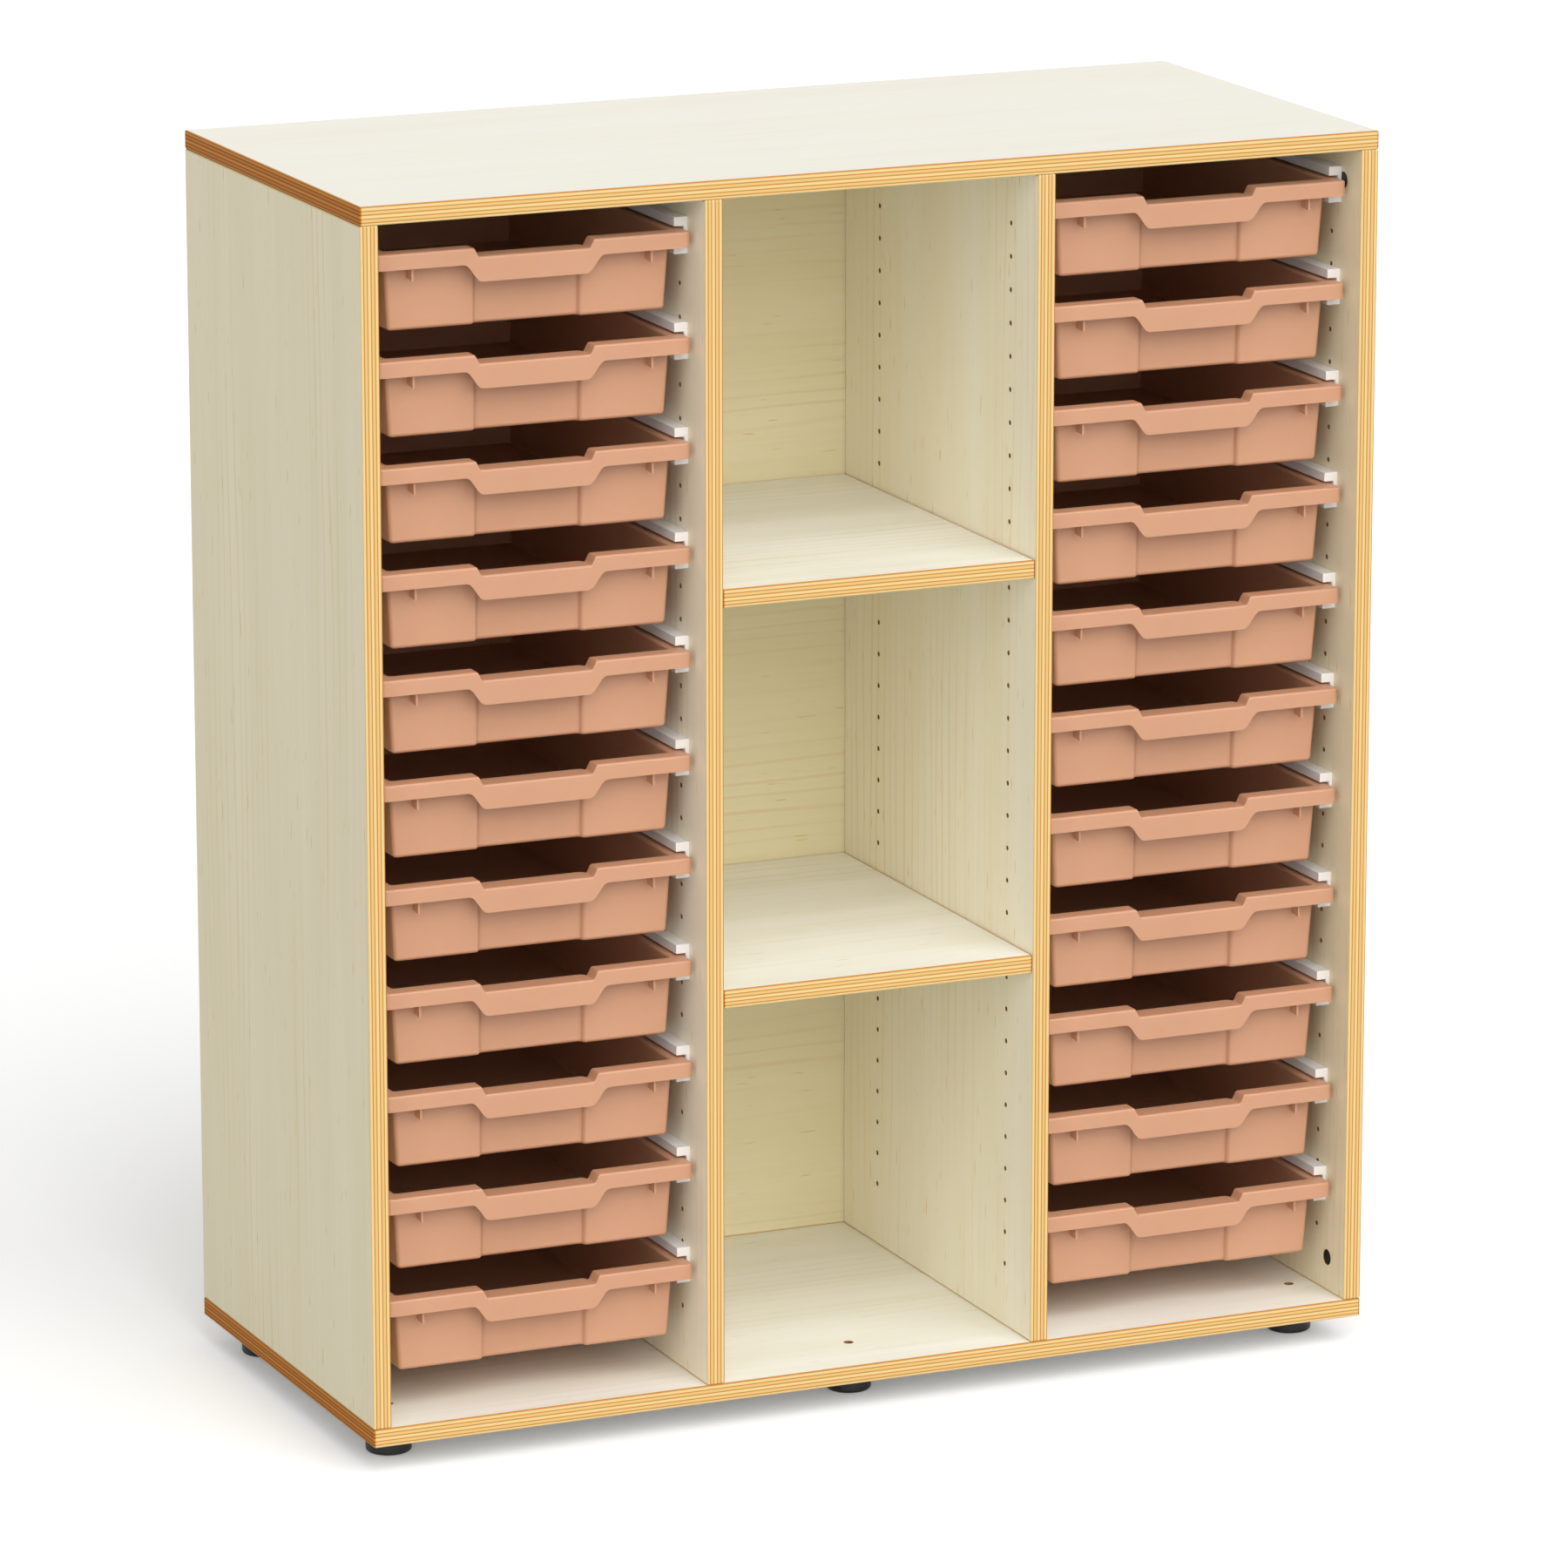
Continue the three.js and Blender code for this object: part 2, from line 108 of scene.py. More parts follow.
# Trays
TRAY_WALL = 2.0 * MM
TRAY_SEAT_PLAY = 0.3 * MM
RIM_DROP = 15 * MM
SKIRT_BREAK = 8.25 * MM
RIM_SIDE = 13.5 * MM
RIM_FRONT = 17.5 * MM
RIM_CORNER = 5 * MM
RIM_ROUNDING = 2.2 * MM
TUB_CORNER = 4 * MM
TUB_SIDE_TAPER = 4.5 * MM
TUB_END_TAPER = 2.5 * MM
TUB_BOTTOM_ROUNDING = 2 * MM
RECESS_HALF = 55.3 * MM
RECESS_DEPTH = 6 * MM
RECESS_EDGE = 1.6 * MM
RECESS_FILLET = 6 * MM
NOTCH_HALF = 56 * MM
NOTCH_DROP = 8.2 * MM
NOTCH_RAMP = 2.3 * MM
NOTCH_FILLET = 4 * MM
GRIP_HALF = 55 * MM
GRIP_DROP = 16.6 * MM
GRIP_RAMP = 11.7 * MM
GRIP_FILLET = 7 * MM
GUSSET_OFFSET = 118.5 * MM
GUSSET_THICKNESS = 1.9 * MM
GUSSET_SETBACK = 5 * MM
GUSSET_DROP = 12.2 * MM
GUSSET_WALL_DROP = 10.7 * MM
LIP_ROUNDING = 0.6 * MM
LIP_EDGE_ANGLE = 50
TRAY_SMOOTH_ANGLE = 40
CORNER_STEPS = 6
ARC_STEPS = 4

# Places along half of a tray's front edge, close together where its outline bends
STATIONS_INSIDE = (0, 18 * MM, 36 * MM, 46 * MM)
STATIONS_AT_BEND = range(-9, 24)
STATION_STEP = 0.8 * MM
STATIONS_OUTSIDE = (82 * MM, 96 * MM, 110 * MM, 124 * MM)

# A place along the front edge past its notch, grip and recess
BEYOND_FRONT = 1.0

# Feet
FOOT_RADIUS = 22 * MM
FOOT_ROUNDING = 3.5 * MM
FOOT_PAD = 13 * MM
FOOT_PAD_ROUNDING = 1.5 * MM
FOOT_HUB_RADIUS = 15 * MM
FOOT_HUB_ROUNDING = 1 * MM
FOOT_SHOULDER = 4 * MM
FOOT_STEM_RADIUS = 4.7 * MM
INSERT_FLANGE = 2.3 * MM
FOOT_SIDES = 64

# Studio; a lamp has a name, elevation, azimuth, level and spread
AMBIENT = 0.4
BACKDROP = 1.0
LAMPS = [
    ("key", 42, 15, 0.52, 60),
    ("front_fill", 20, -24, 0.46, 70),
    ("overhead", 80, 20, 0.08, 60),
]
FLOOR_SIZE = 40
FLOOR_SEEN = 0.97
FLOOR_BOUNCE = 0.5
FLOOR_LIFT = 0.15


def linear(code):
    """Linear colour of a six-digit hex code."""
    channels = [int(code[i : i + 2], 16) / 255 for i in (0, 2, 4)]
    return [c / 12.92 if c <= 0.04045 else ((c + 0.055) / 1.055) ** 2.4 for c in channels] + [1.0]


def grey(level):
    """Linear grey, as a colour socket takes it."""
    return [level] * 3 + [1.0]


# Materials; a colour Mix node has several sockets of one name, so these are their numbers
MIX_FACTOR, MIX_FIRST, MIX_SECOND = 0, 6, 7
MIX_RESULT = 2


class Finish:
    """A material with one Principled shader and short calls for its nodes."""

    def __init__(self, name, roughness=0.5, metallic=0.0):
        self.material = bpy.data.materials.new(name)
        self.material.use_nodes = True
        self.tree = self.material.node_tree
        self.shader = self.tree.nodes["Principled BSDF"]
        self.shader.inputs["Roughness"].default_value = roughness
        self.shader.inputs["Metallic"].default_value = metallic

    def node(self, kind, links=None, **settings):
        made = self.tree.nodes.new(kind)
        for key, value in settings.items():
            if key in made.inputs:
                made.inputs[key].default_value = value
            else:
                setattr(made, key, value)
        for socket, source in (links or {}).items():
            self.tree.links.new(source, made.inputs[socket])
        return made

    def grain(self, along, across):
        """Places on a board in metres times these scales, along and across its grain."""
        place = self.node("ShaderNodeUVMap", uv_map="grain")
        scaled = self.node("ShaderNodeMapping", {"Vector": place.outputs[0]}, Scale=(along, across, 1))
        return scaled.outputs[0]

    def around(self):
        return self.node("ShaderNodeTexCoord").outputs["Object"]

    def noise(self, vector, scale=1.0, detail=4.0, rough=0.55):
        made = self.node(
            "ShaderNodeTexNoise", {"Vector": vector}, Scale=scale, Detail=detail, Roughness=rough
        )
        return made.outputs["Fac"]

    def ramp(self, factor, stops):
        made = self.node("ShaderNodeValToRGB", {"Fac": factor})
        elements = made.color_ramp.elements
        while len(elements) < len(stops):
            elements.new(1.0)
        for element, (position, colour) in zip(elements, stops):
            element.position = position
            element.color = colour
        return made.outputs["Color"]

    def mix(self, factor, first, second, blend="MIX"):
        """Mixes two colours; each value is a socket or a number."""
        made = self.node("ShaderNodeMix", data_type="RGBA", blend_type=blend)
        values = {MIX_FACTOR: factor, MIX_FIRST: first, MIX_SECOND: second}
        for place, value in values.items():
            socket = made.inputs[place]
            if isinstance(value, bpy.types.NodeSocket):
                self.tree.links.new(value, socket)
            else:
                socket.default_value = value
        return made.outputs[MIX_RESULT]

    def colour(self, socket):
        self.tree.links.new(socket, self.shader.inputs["Base Color"])

    def roughness(self, factor, low, high):
        made = self.node("ShaderNodeMapRange", {"Value": factor})
        made.inputs["To Min"].default_value = low
        made.inputs["To Max"].default_value = high
        self.tree.links.new(made.outputs[0], self.shader.inputs["Roughness"])

    def bump(self, height, strength, distance):
        made = self.node("ShaderNodeBump", {"Height": height}, Strength=strength, Distance=distance)
        self.tree.links.new(made.outputs[0], self.shader.inputs["Normal"])


# Maple print: scales along and across the grain
BAND_GRAIN = (1.1, 14)
STREAK_GRAIN = (5, 260)
STREAK_TINT = [0.97, 0.955, 0.915, 1]
GROWTH_GRAIN = (0.12, 1)
PATCH_GRAIN = (1.6, 8)
FLECK_GRAIN = (30, 240)


def maple_laminate(name, pale, streak, line, lines, flecks):
    """Maple print: soft bands, fine streaks, thin wavy growth lines and short flecks along the grain."""
    finish = Finish(name)
    finish.shader.inputs["Specular IOR Level"].default_value = 0.2
    broad = finish.noise(finish.grain(*BAND_GRAIN), detail=5.0, rough=0.6)
    fine = finish.noise(finish.grain(*STREAK_GRAIN), detail=6.0, rough=0.65)
    bands = finish.ramp(broad, [(0.36, linear(pale)), (0.66, linear(streak))])
    soft = finish.ramp(fine, [(0.35, grey(1)), (0.75, STREAK_TINT)])
    streaked = finish.mix(0.8, bands, soft, "MULTIPLY")
    growth = finish.node(
        "ShaderNodeTexWave",
        {"Vector": finish.grain(*GROWTH_GRAIN)},
        bands_direction="Y",
        Scale=20.0,
        Distortion=9.0,
        Detail=2.0,
    )
    growth.inputs["Detail Scale"].default_value = 0.6
    thin = finish.ramp(growth.outputs["Fac"], [(0.82, grey(0)), (0.98, grey(1))])
    patches = finish.noise(finish.grain(*PATCH_GRAIN), detail=3.0)
    shown = finish.ramp(patches, [(0.46, grey(0)), (0.66, grey(lines))])
    lined = finish.mix(finish.mix(1.0, thin, shown, "MULTIPLY"), streaked, linear(line))
    short = finish.noise(finish.grain(*FLECK_GRAIN), detail=1.0, rough=0.4)
    flecked = finish.ramp(short, [(0.7, grey(0)), (0.77, grey(flecks))])
    finish.colour(finish.mix(flecked, lined, linear(line)))
    finish.roughness(fine, low=0.42, high=0.58)
    finish.bump(fine, strength=0.08, distance=0.2 * MM)
    return finish.material


# Veneers across a board's edge, from its lower face up: share of the thickness and kind
DARK, WIDE, NARROW, SEAM_SHADOW = 0, 1, 2, 3
PLY_VENEERS = [
    # The lowest band is painted shadow of the groove under a board's end, near black in the end copy; on
    # other edges it has a wide veneer's colour
    (0.8, SEAM_SHADOW),
    (1.6, WIDE),
    (1.1, DARK),
    (2.5, NARROW),
    (1.0, DARK),
    (2.6, WIDE),
    (1.1, DARK),
    (2.5, NARROW),
    (1.0, DARK),
    (2.4, WIDE),
    (1.3, DARK),
]
VENEER_BLEND = 0.012
VENEER_GRAIN = (4, 500)
VENEER_TINTS = [(0.3, [1.04, 1.04, 1.02, 1]), (0.72, [0.92, 0.88, 0.8, 1])]


def ply_edge(name, colours, shine):
    """Birch ply lipping: veneers of alternate grain, with streaks along the edge."""
    finish = Finish(name)
    finish.shader.inputs["Specular IOR Level"].default_value = shine
    place = finish.node("ShaderNodeUVMap", uv_map="grain")
    across = finish.node("ShaderNodeSeparateXYZ", {"Vector": place.outputs[0]}).outputs["Y"]
    share = finish.node("ShaderNodeMath", {0: across}, operation="DIVIDE")
    share.inputs[1].default_value = BOARD
    total = sum(width for width, _ in PLY_VENEERS)
    stops = []
    reached = 0.0
    for width, kind in PLY_VENEERS:
        stops.append((reached / total + VENEER_BLEND, linear(colours[kind])))
        reached += width
        stops.append((reached / total - VENEER_BLEND, linear(colours[kind])))
    veneers = finish.ramp(share.outputs[0], stops)
    streaks = finish.noise(finish.grain(*VENEER_GRAIN), detail=3.0, rough=0.5)
    tint = finish.ramp(streaks, VENEER_TINTS)
    finish.colour(finish.mix(0.3, veneers, tint, "MULTIPLY"))
    finish.roughness(streaks, low=0.38, high=0.55)
    finish.bump(streaks, strength=0.15, distance=0.15 * MM)
    return finish.material


def drilled_board():
    """Bare chips inside a drilled hole."""
    finish = Finish("drilled_board", 0.9)
    chips = finish.noise(finish.around(), scale=900.0, detail=3.0)
    finish.colour(finish.ramp(chips, [(0.3, linear("6E4520")), (0.7, linear("AC7844"))]))
    finish.bump(chips, strength=0.4, distance=0.3 * MM)
    return finish.material


GLOW_DEPTH = 3 * MM
GLOW_SPREAD = (1.0, 0.4, 0.25)


def moulded_plastic(name, colour, shade, roughness, texture, glow=0.0):
    """Moulded plastic: faint flow clouds, a fine spark texture and light that goes under its skin."""
    finish = Finish(name, roughness)
    clouds = finish.noise(finish.around(), scale=14.0, detail=3.0)
    grain = finish.noise(finish.around(), scale=2600.0, detail=2.0)
    finish.colour(finish.ramp(clouds, [(0.3, linear(colour)), (0.75, linear(shade))]))
    finish.roughness(grain, low=roughness - 0.06, high=roughness + 0.08)
    finish.bump(grain, strength=texture, distance=0.05 * MM)
    finish.shader.inputs["Subsurface Weight"].default_value = glow
    finish.shader.inputs["Subsurface Radius"].default_value = GLOW_SPREAD
    finish.shader.inputs["Subsurface Scale"].default_value = GLOW_DEPTH
    return finish.material


def plated_steel():
    finish = Finish("plated_steel", 0.32, metallic=1.0)
    clouds = finish.noise(finish.around(), scale=160.0, detail=5.0)
    finish.colour(finish.ramp(clouds, [(0.3, linear("C9C8C2")), (0.7, linear("A9A69C"))]))
    finish.roughness(clouds, low=0.24, high=0.42)
    return finish.material


def beech():
    finish = Finish("beech", 0.65)
    streaks = finish.noise(finish.around(), scale=220.0, detail=5.0)
    finish.colour(finish.ramp(streaks, [(0.3, linear("DDBE92")), (0.7, linear("C39A66"))]))
    finish.bump(streaks, strength=0.2, distance=0.2 * MM)
    return finish.material


MAPLE = maple_laminate("maple_laminate", "F5ECCE", "F1E7C5", "DDB974", lines=0.3, flecks=0.6)
# A paler copy of the laminate for the dividers: painted light, so their faces inside the bays look as
# bright as the outer side
MAPLE_PAINTED_LIGHT_INSIDE = maple_laminate("maple_inside_painted_light", "FDF8E6", "FAF2D8", "E4C484", lines=0.3, flecks=0.6)
MAPLE_BACK = maple_laminate("maple_back", "F0E6C4", "EBE0B9", "D9B470", lines=0.3, flecks=0.5)
# A paler, whiter copy of the laminate for the bottom and shelves: painted light on the floors of the bays
MAPLE_PAINTED_LIGHT_FLAT = maple_laminate("maple_flat_painted_light", "FAF8F0", "F3F0E2", "DCC998", lines=0.3, flecks=0.45)
# A paler, plainer copy of the laminate for the top, with fainter lines and flecks: painted light on the
# lit top face
MAPLE_PAINTED_LIGHT_TOP = maple_laminate("maple_top_painted_light", "F1EEE4", "EFEBDE", "E2D8BC", lines=0.15, flecks=0.15)
PLY = ply_edge("ply_edge", ("C08236", "E6CA8E", "E0BC7A", "E6CA8E"), shine=0.2)
# A darker, more saturated copy of the ply edge: painted shade on the sideways ends of the flat boards
PLY_END_SHADED = ply_edge("ply_end_painted_shade", ("8A4810", "CE8A3C", "C27A2E", "2E1404"), shine=0.03)
DRILLED = drilled_board()
TRAY_PLASTIC = moulded_plastic("tray_plastic", "CD9A79", "C99675", roughness=0.42, texture=0.06, glow=0.3)
RUNNER_PLASTIC = moulded_plastic("runner_plastic", "F6F6F4", "F1F0EE", roughness=0.4, texture=0.05)
BLACK_PLASTIC = moulded_plastic("black_plastic", "0A0A0B", "101011", roughness=0.45, texture=0.15)
CAM_PLASTIC = moulded_plastic("cam_plastic", "060607", "0C0C0D", roughness=0.4, texture=0.12)
STEEL = plated_steel()
BEECH = beech()


# Meshes
def new_object(name, made, materials):
    """Object of a finished bmesh, which is used up, with its materials."""
    mesh = bpy.data.meshes.new(name)
    made.to_mesh(mesh)
    made.free()
    piece = bpy.data.objects.new(name, mesh)
    bpy.context.scene.collection.objects.link(piece)
    for material in materials:
        mesh.materials.append(material)
    return piece


def shade_smooth(mesh, angle):
    mesh.polygons.foreach_set("use_smooth", [True] * len(mesh.polygons))
    mesh.set_sharp_from_angle(angle=math.radians(angle))


def even_normals(piece):
    modifier = piece.modifiers.new("even_normals", "WEIGHTED_NORMAL")
    modifier.keep_sharp = True


def smooth(piece):
    """Smooth shading that keeps sharp edges and flat faces."""
    shade_smooth(piece.data, SMOOTH_ANGLE)
    even_normals(piece)


def round_edges(made, size, segments):
    bmesh.ops.bevel(
        made, geom=made.edges[:], offset=size, segments=segments, profile=0.5, affect="EDGES"
    )


def box_mesh(low, high, rounding):
    made = bmesh.new()
    bmesh.ops.create_cube(made, size=1)
    for vertex in made.verts:
        vertex.co = [low[i] + (vertex.co[i] + 0.5) * (high[i] - low[i]) for i in (X, Y, Z)]
    round_edges(made, rounding, segments=3)
    return made


def add_prism(made, near, far):
    """A closed prism between two outlines with the same number of points."""
    near, far = [[made.verts.new(point) for point in outline] for outline in (near, far)]
    made.faces.new(near)
    made.faces.new(reversed(far))
    for i in range(len(near)):
        after = (i + 1) % len(near)
        made.faces.new((near[after], near[i], far[i], far[after]))


def add_rod(made, radius, start, end, sides):
    """A closed round rod between two points."""
    start, end = Vector(start), Vector(end)
    turn = (end - start).to_track_quat("Z", "Y").to_matrix().to_4x4()
    place = Matrix.Translation((start + end) / 2) @ turn
    bmesh.ops.create_cone(
        made,
        cap_ends=True,
        segments=sides,
        radius1=radius,
        radius2=radius,
        depth=(end - start).length,
        matrix=place,
    )


def cut(piece, cutter_mesh):
    """Takes a closed cutter mesh out of a piece."""
    cutter = new_object("cutter", cutter_mesh, [])
    modifier = piece.modifiers.new("cut", "BOOLEAN")
    modifier.object = cutter
    modifier.solver = "EXACT"
    depsgraph = bpy.context.evaluated_depsgraph_get()
    mesh = bpy.data.meshes.new_from_object(piece.evaluated_get(depsgraph))
    piece.modifiers.clear()
    piece.data = mesh
    bpy.data.objects.remove(cutter)


# Material slots of a board, and how its faces are told apart by their normals
# The end slot holds the darker ply copy, painted shade on sideways ends
FACE, EDGE, HOLE, SHADED_END = range(4)
FACE_NORMAL = 0.98
SHADED_END_NORMAL = 0.2
UPPER_BEVEL_NORMAL = 0.6
SKIN_DEPTH = 1.05 * EDGE_ROUNDING

# The grain moves by these lengths from board to board, so that no two look alike
GRAIN_SHIFT_ALONG = 1.7
GRAIN_SHIFT_ACROSS = 0.83
BOARD_NUMBERS = itertools.count(1)


def dress_board(piece, low, high, thin, grain):
    """Lays the grain along the board and the veneers round its edges."""
    mesh = piece.data
    layer = mesh.uv_layers.new(name="grain")
    number = next(BOARD_NUMBERS)
    other = X + Y + Z - thin - grain
    for polygon in mesh.polygons:
        centre, normal = polygon.center, polygon.normal
        depth = min(min(centre[i] - low[i], high[i] - centre[i]) for i in (X, Y, Z))
        on_face = abs(normal[thin]) > FACE_NORMAL
        if depth > SKIN_DEPTH:
            polygon.material_index = HOLE
        # Sideways ends, all but their upper bevels, take the darker ply copy as painted shade
        elif thin == Z and abs(normal.x) > SHADED_END_NORMAL and normal.z < UPPER_BEVEL_NORMAL:
            polygon.material_index = SHADED_END
        else:
            polygon.material_index = FACE if on_face else EDGE
        along, across = (grain, other) if on_face else (other, thin)
        if not on_face and abs(normal[other]) > abs(normal[grain]):
            along = grain
        start = -low[across] if across == thin else GRAIN_SHIFT_ACROSS * number
        for loop in polygon.loop_indices:
            place = mesh.vertices[mesh.loops[loop].vertex_index].co
            layer.data[loop].uv = (place[along] + GRAIN_SHIFT_ALONG * number, place[across] + start)


def board(name, node, low, high, thin, grain, holes=(), face=MAPLE):
    """A board with rounded edges, drilled where its holes say, in place of a CAD node."""
    piece = new_object(name, box_mesh(low, high, EDGE_ROUNDING), [face, PLY, DRILLED, PLY_END_SHADED])
    if holes:
        cutter = bmesh.new()
        for radius, start, end, sides in holes:
            add_rod(cutter, radius, start, end, sides)
        cut(piece, cutter)
    dress_board(piece, low, high, thin, grain)
    smooth(piece)
    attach(piece, "carcass")
    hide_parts(node)


# Carcass
FRONT = cad_low.y
BACK_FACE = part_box("back_panel")[0].y
BAY_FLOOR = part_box("bottom_panel")[1].z
BAY_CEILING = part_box("top_panel")[0].z

# How far a cutter starts outside the face that it cuts
OUTSIDE = 0.5 * MM


def line_bores(face_x, into):
    """Two columns of shelf-pin holes in an upright's face; into is the way into the board."""
    run = BAY_CEILING - BAY_FLOOR - BORE_TOP_MARGIN - BORE_BOTTOM_MARGIN
    holes = []
    for y in (FRONT + BORE_FRONT_INSET, BACK_FACE - BORE_REAR_INSET):
        for i in range(int(run / BORE_SPACING) + 1):
            z = BAY_CEILING - BORE_TOP_MARGIN - i * BORE_SPACING
            start = (face_x - into * OUTSIDE, y, z)
            end = (face_x + into * BORE_DEPTH, y, z)
            holes.append((BORE_RADIUS, start, end, BORE_SIDES))
    return holes


def uprights():
    """Side panels and dividers, with their shelf-pin holes and cam pockets."""
    for side, sign in (("left", -1), ("right", 1)):
        low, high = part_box(f"{side}_side_panel")
        inner = (low.x if sign < 0 else high.x) - sign * BOARD
        outer = inner + sign * BOARD
        holes = line_bores(inner, sign)
        for place in ("top_front", "bottom_front", "bottom_rear"):
            lock_low, lock_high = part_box(f"cam_lock_{side}_{place}")
            y, z = (lock_low.y + lock_high.y) / 2, (lock_low.z + lock_high.z) / 2
            deep = lock_low.x if sign < 0 else lock_high.x
            start, end = (inner - sign * OUTSIDE, y, z), (deep + sign * OUTSIDE, y, z)
            holes.append((CAM_RADIUS + CAM_POCKET_PLAY, start, end, CAM_SIDES))
        panel_low = (min(inner, outer), low.y, low.z)
        panel_high = (max(inner, outer), high.y, high.z)
        board(f"{side}_side_board", f"{side}_side_panel", panel_low, panel_high, X, Z, holes)

        low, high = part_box(f"{side}_divider")
        middle = high.x if sign < 0 else low.x
        tray_face = middle + sign * BOARD
        holes = line_bores(middle, sign) + line_bores(tray_face, -sign)
        panel_low = (min(middle, tray_face), low.y, low.z)
        panel_high = (max(middle, tray_face), high.y, high.z)
        name = f"{side}_divider"
        # The dividers take the paler copy of the laminate as painted light
        board(f"{name}_board", name, panel_low, panel_high, X, Z, holes, face=MAPLE_PAINTED_LIGHT_INSIDE)


def foot_centre(node):
    low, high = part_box(node)
    return ((low.x + high.x) / 2, (low.y + high.y) / 2)


def flat_boards():
    """Top, bottom, back and the two shelves."""
    low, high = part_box("top_panel")
    # The top takes the paler copy of the laminate as painted light
    board("top_board", "top_panel", low, high, Z, X, face=MAPLE_PAINTED_LIGHT_TOP)
    low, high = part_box("bottom_panel")
    holes = []
    for foot in FEET:
        centre = foot_centre(foot)
        pocket_top = low.z + INSERT_POCKET_DEPTH
        access = (*centre, pocket_top - OUTSIDE), (*centre, high.z + OUTSIDE)
        pocket = (*centre, low.z - OUTSIDE), (*centre, pocket_top)
        holes.append((ACCESS_HOLE_RADIUS, *access, FOOT_HOLE_SIDES))
        holes.append((INSERT_POCKET_RADIUS, *pocket, FOOT_HOLE_SIDES))
    # The bottom takes the paler copy of the laminate as painted light
    board("bottom_board", "bottom_panel", low, high, Z, X, holes, face=MAPLE_PAINTED_LIGHT_FLAT)
    low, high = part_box("back_panel")
    board("back_board", "back_panel", low, high, Y, X, face=MAPLE_BACK)
    # The shelves take the paler copy of the laminate as painted light
    for shelf in ("lower_shelf", "upper_shelf"):
        low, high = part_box(shelf)
        board(f"{shelf}_board", shelf, low, high, Z, X, face=MAPLE_PAINTED_LIGHT_FLAT)


# Trays
def eased(distance, start, length, fillet):
    """Share from 0 to 1 of a straight ramp with filleted ends."""

    def area(value):
        if value <= 0:
            return 0.0
        if value >= length:
            return length / 2 + value - length
        return value * value / (2 * length)

    from_start = distance - start
    return (area(from_start + fillet / 2) - area(from_start - fillet / 2)) / fillet


def notch(x):
    """Drop of the front lip's upper edge."""
    return NOTCH_DROP * (1 - eased(abs(x), NOTCH_HALF, NOTCH_RAMP, NOTCH_FILLET))


def grip(x):
    """Drop of the front lip's lower edge."""
    return GRIP_DROP * (1 - eased(abs(x), GRIP_HALF, GRIP_RAMP, GRIP_FILLET))


def recess(x):
    """Depth of the finger recess: a rounded outer edge and a hollow fillet on to its flat back."""
    inside = max(RECESS_HALF - abs(x), 0)
    edge = min(inside / RECESS_EDGE, 1)
    hollow = min(max(inside - RECESS_EDGE, 0) / RECESS_FILLET, 1)
    rounded = RECESS_EDGE * (1 - math.sqrt(1 - edge**2))
    return rounded + (RECESS_DEPTH - RECESS_EDGE) * math.sqrt(1 - (1 - hollow) ** 2)


def front_stations():
    """Places along the whole front edge, from left to right."""
    half = list(STATIONS_INSIDE)
    half += [RECESS_HALF + step * STATION_STEP for step in STATIONS_AT_BEND]
    half += STATIONS_OUTSIDE
    return [-x for x in reversed(half[1:])] + half


FRONT_STATIONS = front_stations()


def ring_points(half_width, front, rear, radius):
    """Rounded rectangle from the front edge round, with a mark on the points of the front edge."""
    points = [(x, front, True) for x in FRONT_STATIONS]
    corners = [
        (half_width - radius, front + radius, -90),
        (half_width - radius, rear - radius, 0),
        (radius - half_width, rear - radius, 90),
        (radius - half_width, front + radius, 180),
    ]
    for x, y, start in corners:
        for step in range(CORNER_STEPS + 1):
            angle = math.radians(start + 90 * step / CORNER_STEPS)
            points.append((x + radius * math.cos(angle), y + radius * math.sin(angle), False))
    return points


def tray_rings(length, half_width, height):
    """Rings of the moulded skin, from the rim's lower edge over the rim and down to the floor."""
    arc = [math.radians(90 * step / ARC_STEPS) for step in range(ARC_STEPS + 1)]
    rings = []

    def ring(inset_side, inset_front, inset_rear, radius, place):
        """One ring; place moves each point of its outline to where it lies on the tray."""
        outline = ring_points(half_width - inset_side, inset_front, length - inset_rear, radius)
        rings.append([place(*point) for point in outline])

    def skirt(z_of):
        return lambda x, y, front: (x, y, z_of(x if front else BEYOND_FRONT))

    ring(0, 0, 0, RIM_CORNER, skirt(lambda x: -RIM_DROP - grip(x)))
    ring(0, 0, 0, RIM_CORNER, skirt(lambda x: -SKIRT_BREAK - notch(x)))
    for a in arc:
        inset = RIM_ROUNDING * (1 - math.cos(a))
        drop = RIM_ROUNDING * (1 - math.sin(a))
        ring(inset, inset, inset, RIM_CORNER - inset, skirt(lambda x, d=drop: -d - notch(x)))

    def wall(z_of):
        def place(x, y, front):
            along = x if front else BEYOND_FRONT
            return (x, y + recess(along), z_of(along))

        return place

    for a in arc:
        inset = RIM_ROUNDING * (1 - math.sin(a))
        drop = RIM_ROUNDING * (1 - math.cos(a))
        ring(
            RIM_SIDE + TRAY_WALL - inset, RIM_FRONT + TRAY_WALL - inset, RIM_SIDE + TRAY_WALL - inset,
            TUB_CORNER - TRAY_WALL + inset, wall(lambda x, d=drop: -d - notch(x)),
        )
    floor = height - TRAY_WALL
    side = RIM_SIDE + TRAY_WALL + TUB_SIDE_TAPER
    front = RIM_FRONT + TRAY_WALL + TUB_END_TAPER
    rear = RIM_SIDE + TRAY_WALL + TUB_END_TAPER
    for a in arc:
        inset = TUB_BOTTOM_ROUNDING * (1 - math.cos(a))
        rise = TUB_BOTTOM_ROUNDING * (1 - math.sin(a))
        ring(
            side + inset, front + inset, rear + inset, TUB_CORNER - TRAY_WALL,
            wall(lambda x, r=rise: r - floor),
        )
    return rings


